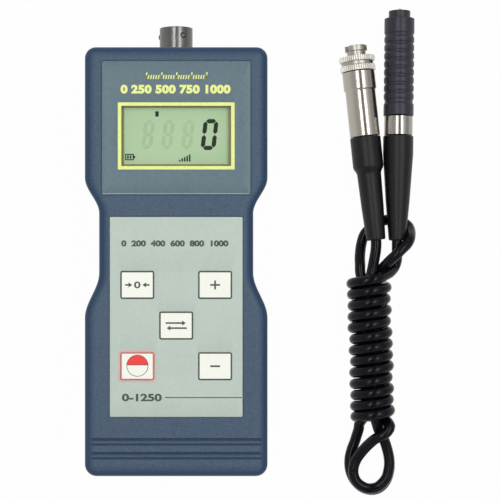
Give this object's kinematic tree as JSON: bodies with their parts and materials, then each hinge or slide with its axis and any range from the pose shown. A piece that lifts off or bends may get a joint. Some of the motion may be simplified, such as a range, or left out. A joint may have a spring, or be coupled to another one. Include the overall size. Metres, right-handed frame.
{
  "type": "coating thickness gauge",
  "caption": "Handheld coating thickness gauge with a waisted moulded case, display, keypad and socket, and a ribbed probe on a wound lead that ends in a knurled plug.",
  "frame": {"origin": "centre of the case's flat back face, on the surface that the gauge lies on", "axes": "+X to the gauge's right-hand side, +Y from its foot to its socket, +Z out of its display"},
  "size_m": [0.1294, 0.1917, 0.032],
  "materials": {
    "blue_case": "fine moulded texture",
    "display_print": "satin printed film",
    "keypad_print": "fine-grained printed film",
    "key_white": "satin",
    "clear_window": "clear",
    "display_glass": "satin display glass",
    "nickel_steel": "turned and plated",
    "spring_steel": "plated",
    "black_plastic": "satin",
    "black_rubber": "glossy",
    "cord_rubber": "glossy",
    "board_green": "solder mask",
    "cell_sleeve": "plain printed sleeve"
  },
  "bodies": {
    "gauge": {"front_case": "blue_case", "rear_case": "blue_case", "display_label": "display_print", "display_lens": "clear_window", "lcd_panel": "display_glass", "lcd_holder": "black_plastic", "keypad_label": "keypad_print", "switch_zero": "black_plastic", "switch_plus": "black_plastic", "switch_unit": "black_plastic", "switch_power": "black_plastic", "switch_minus": "black_plastic", "main_board": "board_green", "processor_chip": "black_plastic", "cell_1": "cell_sleeve", "cell_2": "cell_sleeve", "cell_3": "cell_sleeve", "cell_4": "cell_sleeve", "contact_foot_left": "spring_steel", "contact_foot_right": "spring_steel", "contact_head_bridge": "spring_steel", "contact_head_negative": "spring_steel", "contact_head_positive": "spring_steel", "case_screw_1": "spring_steel", "case_screw_2": "spring_steel", "case_screw_3": "spring_steel", "case_screw_4": "spring_steel", "socket_shell": "nickel_steel", "socket_insert": "black_plastic", "probe_boot": "black_rubber", "probe_ring": "nickel_steel", "probe_grip": "black_plastic", "sensor_spring": "spring_steel", "plug_boot": "black_rubber", "plug_barrel": "nickel_steel", "plug_insert": "black_plastic", "cord_plug_lead": "cord_rubber", "cord_probe_lead": "cord_rubber", "cord_top_loop": "cord_rubber", "cord_outer_loop": "cord_rubber", "cord_inner_loop": "cord_rubber", "cord_winding": "cord_rubber"},
    "zero_key": {"key_zero": "key_white"},
    "plus_key": {"key_plus": "key_white"},
    "unit_key": {"key_unit": "key_white"},
    "power_key": {"key_power": "key_white"},
    "minus_key": {"key_minus": "key_white"},
    "cover": {"battery_cover": "blue_case"},
    "sensor": {"sensor_sleeve": "black_plastic", "sensor_tip": "nickel_steel"},
    "coupling": {"coupling_ring": "nickel_steel"}
  },
  "joints": [
    {"name": "zero_press", "type": "slide", "parent": "gauge", "child": "zero_key", "axis": [0, 0, -1], "range_m": [0, 0.0004], "stiffness_N_per_m": 800},
    {"name": "plus_press", "type": "slide", "parent": "gauge", "child": "plus_key", "axis": [0, 0, -1], "range_m": [0, 0.0004], "stiffness_N_per_m": 800},
    {"name": "unit_press", "type": "slide", "parent": "gauge", "child": "unit_key", "axis": [0, 0, -1], "range_m": [0, 0.0004], "stiffness_N_per_m": 800},
    {"name": "power_press", "type": "slide", "parent": "gauge", "child": "power_key", "axis": [0, 0, -1], "range_m": [0, 0.0004], "stiffness_N_per_m": 800},
    {"name": "minus_press", "type": "slide", "parent": "gauge", "child": "minus_key", "axis": [0, 0, -1], "range_m": [0, 0.0004], "stiffness_N_per_m": 800},
    {"name": "cover_slide", "type": "slide", "parent": "gauge", "child": "cover", "axis": [0, -1, 0], "range_m": [0, 0.056]},
    {"name": "sensor_press", "type": "slide", "parent": "gauge", "child": "sensor", "axis": [-0.0154, -0.9994, 0.031], "range_m": [0, 0.0025], "stiffness_N_per_m": 200, "deforming": ["sensor_spring"]},
    {"name": "coupling_turn", "type": "hinge", "parent": "gauge", "child": "coupling", "pos_m": [0.0782, 0.0083, 0.0085], "axis": [-0.1021, 0.9946, -0.0201], "continuous": true}
  ]
}
